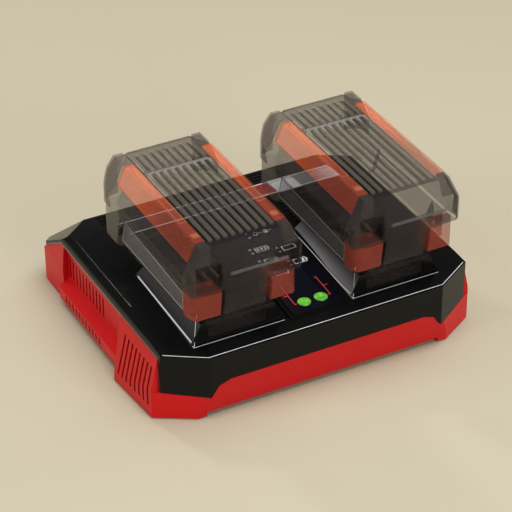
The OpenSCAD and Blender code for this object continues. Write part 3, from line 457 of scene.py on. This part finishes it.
# ---------------------------------------------------------------- see-through pack shells
SKINS = ["pack_charcoal", "pack_inside", "pack_under", "pack_groove_shade", "pack_rib", "pack_rear"]
LOOK_COUNT = 48
LOOK_GAP = 0.2 * MM  # from a face to where the looks round it start
ENCLOSED_SHARE = 0.86  # share of the looks that meet the shells where a face is an inner one
COVER_GAP, COVER_REACH = 0.05 * MM, 2 * MM  # where a look for a grip strip over a face starts and ends
STEEP = 0.6
STRIP_FLAT = 7 * MM  # width of a grip strip's flat part
STRIP_INSET = 9.5 * MM  # from the pack's side to that flat part
REAR_BLOCK = 26 * MM
WAIST_RISE = 24 * MM
RIB_RISE = 1.5 * MM
DECK_MARGIN = 0.1 * MM
CUT_REACH = 0.001 * MM
SHELL_EDGE = 0.9 * MM


def look_round():
    """Directions spread evenly over a sphere."""
    golden = math.pi * (3 - math.sqrt(5))
    directions = []
    for i in range(LOOK_COUNT):
        z = 1 - 2 * (i + 0.5) / LOOK_COUNT
        r = math.sqrt(1 - z * z)
        directions.append(Vector((r * math.cos(golden * i), r * math.sin(golden * i), z)))
    return directions


def tree_of(names):
    """A search tree over the faces of some CAD nodes."""
    joined = bmesh.new()
    for name in names:
        joined.from_mesh(NODES[name].data)
    tree = BVHTree.FromBMesh(joined)
    joined.free()
    return tree


def cut_along(bm, place, normal):
    """Splits the faces that a plane passes through."""
    everything = bm.verts[:] + bm.edges[:] + bm.faces[:]
    bmesh.ops.bisect_plane(bm, geom=everything, dist=CUT_REACH, plane_co=place, plane_no=normal)


def pack_shells(side, materials):
    """The pack's shells in smoked plastic, with a tinting outer skin and nearly clear inner faces."""
    names = [f"{side}_pack_case_{part}" for part in ("upper", "lower")]
    shells = tree_of(names)
    strips = tree_of([f"{side}_pack_grip_strips"])
    low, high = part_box(f"{side}_pack_grip_strips")
    middle = (low.x + high.x) / 2
    upper_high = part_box(names[0])[1]
    deck = upper_high.z - RIB_RISE
    waist_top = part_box(names[1])[0].z + WAIST_RISE
    field = upper_high.x - STRIP_INSET - STRIP_FLAT - middle
    rear_y = upper_high.y - REAR_BLOCK
    directions = look_round()

    def skin_of(face, lower):
        """Which skin a face gets, by what it faces and where it lies."""
        centre, normal = face.calc_center_median(), face.normal
        hits = sum(shells.ray_cast(centre + normal * LOOK_GAP, way)[0] is not None for way in directions)
        covered = strips.ray_cast(centre + normal * COVER_GAP, normal, COVER_REACH)[0] is not None
        if hits >= ENCLOSED_SHARE * LOOK_COUNT or covered:
            return "pack_inside"
        if centre.y > rear_y and abs(normal.z) < STEEP:
            return "pack_rear"
        if normal.z < -STEEP or (lower and centre.z < waist_top):
            return "pack_under"
        # rib faces get the lighter skin, a painted highlight; the deck between the ribs gets the darker one,
        # painted shade
        if centre.z > deck + DECK_MARGIN:
            return "pack_rib"
        if centre.z > deck - DECK_MARGIN and abs(centre.x - middle) < field:
            return "pack_groove_shade"
        return "pack_charcoal"

    for name in names:
        mesh = NODES[name].data.copy()
        bm = bmesh.new()
        bm.from_mesh(mesh)
        bmesh.ops.remove_doubles(bm, verts=bm.verts, dist=WELD_REACH)
        cut_along(bm, (0, rear_y, 0), (0, 1, 0))
        if name.endswith("upper"):
            for way in (-1, 1):
                cut_along(bm, (middle + way * field, 0, 0), (1, 0, 0))
            for y in (low.y, high.y):
                cut_along(bm, (0, y, 0), (0, 1, 0))
            cut_along(bm, (0, 0, low.z), (0, 0, 1))
        bm.normal_update()
        for face in bm.faces:
            face.material_index = SKINS.index(skin_of(face, name.endswith("lower")))
            face.smooth = True
        mesh.materials.clear()
        for skin in SKINS:
            mesh.materials.append(materials[skin])
        bm.to_mesh(mesh)
        bm.free()
        shell = bpy.data.objects.new(name.replace("case", "shell"), mesh)
        bpy.context.scene.collection.objects.link(shell)
        soften(shell, SHELL_EDGE, angle=18)
        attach(shell, f"{side}_pack")
        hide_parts(name)


# ---------------------------------------------------------------- thin raised forms
MARK_RISE = 0.12 * MM
MARK_ROOT = 0.06 * MM
MARK_STEP = 2 * MM
LEAST_MITRE = 0.4
CLEAR_OF = 10 * MM  # how far outside a node the looks for its surface start


def surface_of(node):
    """A function that gives the height of a node's top at a place."""
    tree = tree_of([node])
    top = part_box(node)[1].z + CLEAR_OF

    def height(x, y):
        return tree.ray_cast(Vector((x, y, top)), Vector((0, 0, -1)))[0].z

    return height


def join_rings(bm, rings, closed=False):
    """Faces between rings of points, with a cap at each end of an open row of rings."""
    row = rings + rings[:1] if closed else rings
    for first, second in zip(row, row[1:]):
        for i in range(len(first)):
            j = (i + 1) % len(first)
            bm.faces.new((first[i], first[j], second[j], second[i]))
    if not closed:
        bm.faces.new(reversed(rings[0]))
        bm.faces.new(rings[-1])


def finer(points, closed):
    """The same line with a point at least every MARK_STEP."""
    ends = points + points[:1] if closed else points
    line = []
    for a, b in zip(ends, ends[1:]):
        parts = max(1, math.ceil((b - a).length / MARK_STEP))
        line += [a.lerp(b, i / parts) for i in range(parts)]
    return line if closed else line + [ends[-1]]


def add_stroke(bm, height, points, width, closed=False):
    """A thin raised line of that width along points in plan, in millimetres."""
    line = finer([Vector(p).to_2d() * MM for p in points], closed)
    rings = []
    count = len(line)
    for i, here in enumerate(line):
        before = line[i - 1] if closed or i else here
        after = line[(i + 1) % count] if closed or i < count - 1 else here
        into = (here - before).normalized() if here != before else (after - here).normalized()
        out = (after - here).normalized() if here != after else into
        across = (into + out).normalized().orthogonal()
        reach = width * MM / 2 / max(LEAST_MITRE, across.dot(out.orthogonal()))
        section = []
        for side, rise in ((1, MARK_RISE), (-1, MARK_RISE), (-1, -MARK_ROOT), (1, -MARK_ROOT)):
            place = here + across * reach * side
            section.append(bm.verts.new((place.x, place.y, height(place.x, place.y) + rise)))
        rings.append(section)
    join_rings(bm, rings, closed)


def add_patch(bm, height, points):
    """A thin raised patch with that outline in plan, in millimetres."""
    outline = [(p.x, p.y, height(p.x, p.y)) for p in finer([Vector(p).to_2d() * MM for p in points], True)]
    rises = (-MARK_ROOT, MARK_RISE)
    join_rings(bm, [[bm.verts.new((x, y, z + rise)) for x, y, z in outline] for rise in rises])


def add_prism(bm, outline, low, high):
    """A solid with that outline in plan, between two heights, in metres."""
    join_rings(bm, [[bm.verts.new((x, y, z)) for x, y in outline] for z in (low, high)])


def add_side_plate(bm, wall, rise, corners):
    """A thin plate on a wall that faces -X, with its corners given as (y, z)."""
    join_rings(bm, [[bm.verts.new((x, y, z)) for y, z in corners] for x in (wall + rise / 2, wall - rise)])


def finished(bm, name, material, body):
    """Makes a piece of the mesh, riding on that body."""
    bmesh.ops.recalc_face_normals(bm, faces=bm.faces)
    mesh = bpy.data.meshes.new(name)
    bm.to_mesh(mesh)
    bm.free()
    mesh.materials.append(material)
    obj = bpy.data.objects.new(name, mesh)
    bpy.context.scene.collection.objects.link(obj)
    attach(obj, body)


def rectangle(x, y, width, depth):
    """Corners of a rectangle about a place."""
    return [
        (x - width / 2, y - depth / 2), (x + width / 2, y - depth / 2),
        (x + width / 2, y + depth / 2), (x - width / 2, y + depth / 2),
    ]


def circle(x, y, radius, count=20):
    """Points round a circle about a place."""
    turns = [2 * math.pi * i / count for i in range(count)]
    return [(x + radius * math.cos(turn), y + radius * math.sin(turn)) for turn in turns]


# ---------------------------------------------------------------- marks on the cover, in millimetres
LINE_WIDTH = 0.55
ICON_WIDTH, ICON_DEPTH = 10, 4.4
BODY_WIDTH = 9
TERMINAL_OUT = 0.7  # from the body to the terminal's middle
TERMINAL_WIDTH, TERMINAL_DEPTH = 0.8, 1.8
BAR_WIDTH, BAR_MARGIN = 1.6, 0.8
HATCH_REACH = (0.8, 1.5)
LENS_TO_ICON = 8.3
ICONS = [  # place of its pair of lenses, and shares of the body's width where it has bars and hatching
    (-13.3, -47.5, (), (0.3, 0.5, 0.7)),
    (-13.3, -33.5, (0.55, 0.8), ()),
    (-13.3, -19.5, (0.2, 0.5, 0.8), ()),
    (4.2, -41.5, (0.75,), ()),
    (4.2, -25.5, (), ()),
]
SIGN_RINGS = [(-1.1, -2, 1.7), (6.9, -2, 1.7)]
SIGN_DASHES = [[(2.2, -2), (4.2, -2)], [(9.2, -2), (11, -2)]]
SIGN_DOTS = [(6.9, -2, 0.9), (-6.8, 0.5, 0.8), (-6.8, -4.8, 0.8)]
BRACKET = [  # the right one's lines, which the left one mirrors
    [(13.2, -61.3), (13.4, -80.8), (12, -80.8)],
    [(13.2, -61.3), (11.9, -61.3)],
    [(13.3, -71), (16.6, -71)],
]


def battery_icon(bm, height, x, y, bars, hatching):
    """A battery outline with its terminal, and bars or hatching that tell the state of charge."""
    left = x - ICON_WIDTH / 2
    body = rectangle(left + BODY_WIDTH / 2, y, BODY_WIDTH, ICON_DEPTH)
    add_stroke(bm, height, body, LINE_WIDTH, closed=True)
    add_patch(bm, height, rectangle(left + BODY_WIDTH + TERMINAL_OUT, y, TERMINAL_WIDTH, TERMINAL_DEPTH))
    for share in bars:
        add_patch(bm, height, rectangle(left + share * BODY_WIDTH, y, BAR_WIDTH, ICON_DEPTH - 2 * BAR_MARGIN))
    across, along = HATCH_REACH
    for share in hatching:
        middle = left + share * BODY_WIDTH
        add_stroke(bm, height, [(middle - across, y - along), (middle + across, y + along)], LINE_WIDTH)


def panel_marks(materials):
    """Wordless pictograms beside the indicator lenses, and a bracket beside each status lens."""
    height = surface_of("window_panel")
    white = bmesh.new()
    for x, y, bars, hatching in ICONS:
        battery_icon(white, height, x + LENS_TO_ICON, y, bars, hatching)
    for place in SIGN_RINGS:
        add_stroke(white, height, circle(*place), LINE_WIDTH, closed=True)
    for line in SIGN_DASHES:
        add_stroke(white, height, line, LINE_WIDTH)
    for place in SIGN_DOTS:
        add_patch(white, height, circle(*place, count=12))
    finished(white, "panel_pictograms", materials["print_white"], "charger")

    red = bmesh.new()
    for side in (-1, 1):
        for line in BRACKET:
            add_stroke(red, height, [(x * side, y) for x, y in line], LINE_WIDTH)
    finished(red, "panel_lines", materials["print_red"], "charger")


BORDER_INSET = (0.6, 1.2)
BORDER_WIDTH = 0.7


def label_borders(materials):
    """A border line along each long side of the label band."""
    height = surface_of("label_band")
    low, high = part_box("label_band")
    ends = (low.x / MM + BORDER_INSET[0], high.x / MM - BORDER_INSET[0])
    bm = bmesh.new()
    for y in (low.y / MM + BORDER_INSET[1], high.y / MM - BORDER_INSET[1]):
        add_stroke(bm, height, [(x, y) for x in ends], BORDER_WIDTH)
    finished(bm, "label_borders", materials["print_white"], "charger")


BAY_HALF_FOOT = 33.5
BAY_GLINTS = [  # painted highlight lines, from the bay's left foot and the front, and their widths
    ([(-0.5, 96), (0.6, 15)], 0.5),
    ([(0.6, 15), (9, 27)], 0.4),
    ([(0.6, 15), (2 * BAY_HALF_FOOT, 15)], 0.3),
]
CREASE = [(-113.4, 17.1), (-87.8, 1.9), (87.8, 1.9), (113.4, 17.1)]  # a painted highlight along the crease; points from the middle and the front
CREASE_WIDTH = 0.45


def bay_and_crease_glints(materials):
    """Painted highlights: fine pale lines along the left and front foot of each bay and along the cover's
    front crease, which stand in for glints on those edges.
    """
    height = surface_of("top_cover")
    bm = bmesh.new()
    front = cad_box[0].y / MM
    for side in SIDES:
        low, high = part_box(f"{side}_contact_block")
        foot = (low.x + high.x) / 2 / MM - BAY_HALF_FOOT
        for line, width in BAY_GLINTS:
            add_stroke(bm, height, [(foot + x, front + y) for x, y in line], width)
    add_stroke(bm, height, [(x, front + y) for x, y in CREASE], CREASE_WIDTH)
    # the white print material here paints glints, not print
    finished(bm, "cover_painted_glints", materials["print_white"], "charger")


BEAD_HEIGHT = 0.8 * MM
BEAD_PROUD = 0.15 * MM
BEAD_STEP = 2.5 * MM
BEAD_START, BEAD_END = 18 * MM, 9 * MM  # from the cover's front and back
LIP_STEP = 0.25 * MM
LIP_START, LIP_REACH = 5 * MM, 6 * MM  # of a look for the wall, from outside it


def lip_height(tree, wall, way, y, low, high):
    """Height of the lower edge of the cover's side wall at that place along the side."""
    z = low
    while z < high:
        start = Vector((wall + way * LIP_START, y, z))
        if tree.ray_cast(start, Vector((-way, 0, 0)), LIP_REACH)[0] is not None:
            return z
        z += LIP_STEP
    return high


def lip_highlight_beads(materials):
    """A thin bead along the lower edge of each side of the cover, in the light grey edge material: a painted
    highlight on the lip.
    """
    tree = tree_of(["top_cover"])
    low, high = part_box("top_cover")
    section = [(BEAD_PROUD, 0), (BEAD_PROUD, BEAD_HEIGHT), (-BEAD_PROUD, BEAD_HEIGHT), (-BEAD_PROUD, 0)]
    bm = bmesh.new()
    for way, wall in ((-1, low.x), (1, high.x)):
        rings = []
        y = low.y + BEAD_START
        while y < high.y - BEAD_END:
            z = lip_height(tree, wall, way, y, low.z, high.z)
            rings.append([bm.verts.new((wall + way * out, y, z + up)) for out, up in section])
            y += BEAD_STEP
        join_rings(bm, rings)
    finished(bm, "cover_lip_highlight_beads", materials["cover_edge_highlight"], "charger")


# ---------------------------------------------------------------- details of the packs
RIB_COUNT = 9
RIB_FIELD = 21.75 * MM
BREAK_Y = -2 * MM  # the groove across the ribs
BREAK_HALF = 1.5 * MM
GLEAM_FAR, GLEAM_NEAR = 2.4 * MM, 12 * MM  # how far in front of the groove a gleam starts and ends
GLEAM_HALF = 1.3 * MM
GLEAM_SKIN = 0.1 * MM


def rib_gleams(side, materials):
    """Painted highlights: pale pointed ends of the ribs at the cross groove, and a pale strip on the floor of
    the groove.
    """
    low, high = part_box(f"{side}_pack_case_upper")
    middle, top = (low.x + high.x) / 2, high.z
    deck = top - RIB_RISE
    far, near = BREAK_Y - GLEAM_FAR, BREAK_Y - GLEAM_NEAR
    bm = bmesh.new()
    for i in range(RIB_COUNT):
        x = middle + RIB_FIELD * (2 * i / (RIB_COUNT - 1) - 1)
        outline = [(x - GLEAM_HALF, far), (x, near), (x + GLEAM_HALF, far)]
        add_prism(bm, outline, top - GLEAM_SKIN, top + GLEAM_SKIN)
    groove = rectangle(middle, BREAK_Y, 2 * (RIB_FIELD + GLEAM_HALF), 2 * BREAK_HALF)
    add_prism(bm, groove, deck - GLEAM_SKIN, deck + GLEAM_SKIN)
    finished(bm, f"{side}_pack_rib_gleams", materials["pack_gleam"], f"{side}_pack")


INSET_ROOT, INSET_RISE = 0.1 * MM, 0.3 * MM
INSET_MARGINS = (1.1 * MM, 0.9 * MM)  # to the inner and the outer edge of the strip's flat part
INSET_LINE = 0.6 * MM
INSET_NEAR, INSET_REAR = 24 * MM, 4 * MM  # from the strip's near and rear end to the outline
PLATE_NEAR, PLATE_REAR = 5 * MM, 10 * MM  # from the strip's near end to the plate's two ends


def strip_insets(side, materials):
    """A raised outline and a small plate on the flat part of each grip strip."""
    low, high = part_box(f"{side}_pack_grip_strips")
    middle = (low.x + high.x) / 2
    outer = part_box(f"{side}_pack_case_upper")[1].x - STRIP_INSET - middle
    inner = outer - STRIP_FLAT
    reach = (inner + INSET_MARGINS[0], outer - INSET_MARGINS[1])
    y0, y1 = low.y + INSET_NEAR, high.y - INSET_REAR
    bottom, top = high.z - INSET_ROOT, high.z + INSET_RISE
    bm = bmesh.new()
    for way in (-1, 1):
        x0, x1 = sorted(middle + way * x for x in reach)
        for a0, a1, b0, b1 in (
            (x0, x1, y0, y0 + INSET_LINE), (x0, x1, y1 - INSET_LINE, y1),
            (x0, x0 + INSET_LINE, y0 + INSET_LINE, y1 - INSET_LINE),
            (x1 - INSET_LINE, x1, y0 + INSET_LINE, y1 - INSET_LINE),
            (x0, x1, low.y + PLATE_NEAR, low.y + PLATE_REAR),
        ):
            add_prism(bm, [(a0, b0), (a1, b0), (a1, b1), (a0, b1)], bottom, top)
    finished(bm, f"{side}_pack_strip_insets", materials["pack_inset"], f"{side}_pack")


FILM_NEAR, FILM_REAR = 116 * MM, 25 * MM  # from the lower case's rear end to the film's two ends
FILM_BOTTOM, FILM_TOP = 18.5 * MM, 1.2 * MM  # below the top of the lower case
FILM_REAR_IN, FILM_NEAR_DOWN = 5 * MM, 4 * MM  # of the upper corner at the rear end and at the near end
FILM_RISE, FILM_LINE_RISE = 0.05 * MM, 0.12 * MM
FILM_LINE = 0.6 * MM


def side_label(side, materials):
    """A pale clear film with a thin border on the pack's left side wall, higher at its rear end."""
    node = f"{side}_pack_case_lower"
    low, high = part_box(node)
    near, rear = high.y - FILM_NEAR, high.y - FILM_REAR
    bottom, top = high.z - FILM_BOTTOM, high.z - FILM_TOP
    start = Vector((low.x - CLEAR_OF, (near + rear) / 2, (bottom + top) / 2))
    wall = tree_of([node]).ray_cast(start, Vector((1, 0, 0)))[0].x
    corners = [Vector(p) for p in (
        (near, bottom), (rear, bottom), (rear - FILM_REAR_IN, top), (near, top - FILM_NEAR_DOWN),
    )]
    film = bmesh.new()
    add_side_plate(film, wall, FILM_RISE, corners)
    finished(film, f"{side}_pack_side_film", materials["pack_film"], f"{side}_pack")
    border = bmesh.new()
    for a, b in zip(corners, corners[1:] + corners[:1]):
        across = (b - a).orthogonal().normalized() * FILM_LINE
        add_side_plate(border, wall, FILM_LINE_RISE, [a, b, b + across, a + across])
    finished(border, f"{side}_pack_side_border", materials["pack_print"], f"{side}_pack")


# ---------------------------------------------------------------- the whole charger with its packs
BASE_EDGE = 1.4 * MM
COVER_EDGE = 0.6 * MM
PACK_EDGES = {
    "grip_strips": 0.5 * MM, "bumpers": 0.4 * MM, "left_button": 1.2 * MM, "right_button": 1.2 * MM,
}

make_camera()
make_stage()
materials = make_materials()
dress(materials)
soften(NODES["base_shell"], BASE_EDGE, segments=3)
# the cover's rounded edges get the light grey edge material, a painted highlight
soften(NODES["top_cover"], COVER_EDGE, edge_material=materials["cover_edge_highlight"])
for side in SIDES:
    pack_shells(side, materials)
    NODES[f"{side}_pack_grip_strips"].data.materials[0] = materials["pack_strip"]
    for part, width in PACK_EDGES.items():
        soften(NODES[f"{side}_pack_{part}"], width)
    rib_gleams(side, materials)
    strip_insets(side, materials)
    side_label(side, materials)
panel_marks(materials)
label_borders(materials)
bay_and_crease_glints(materials)
lip_highlight_beads(materials)
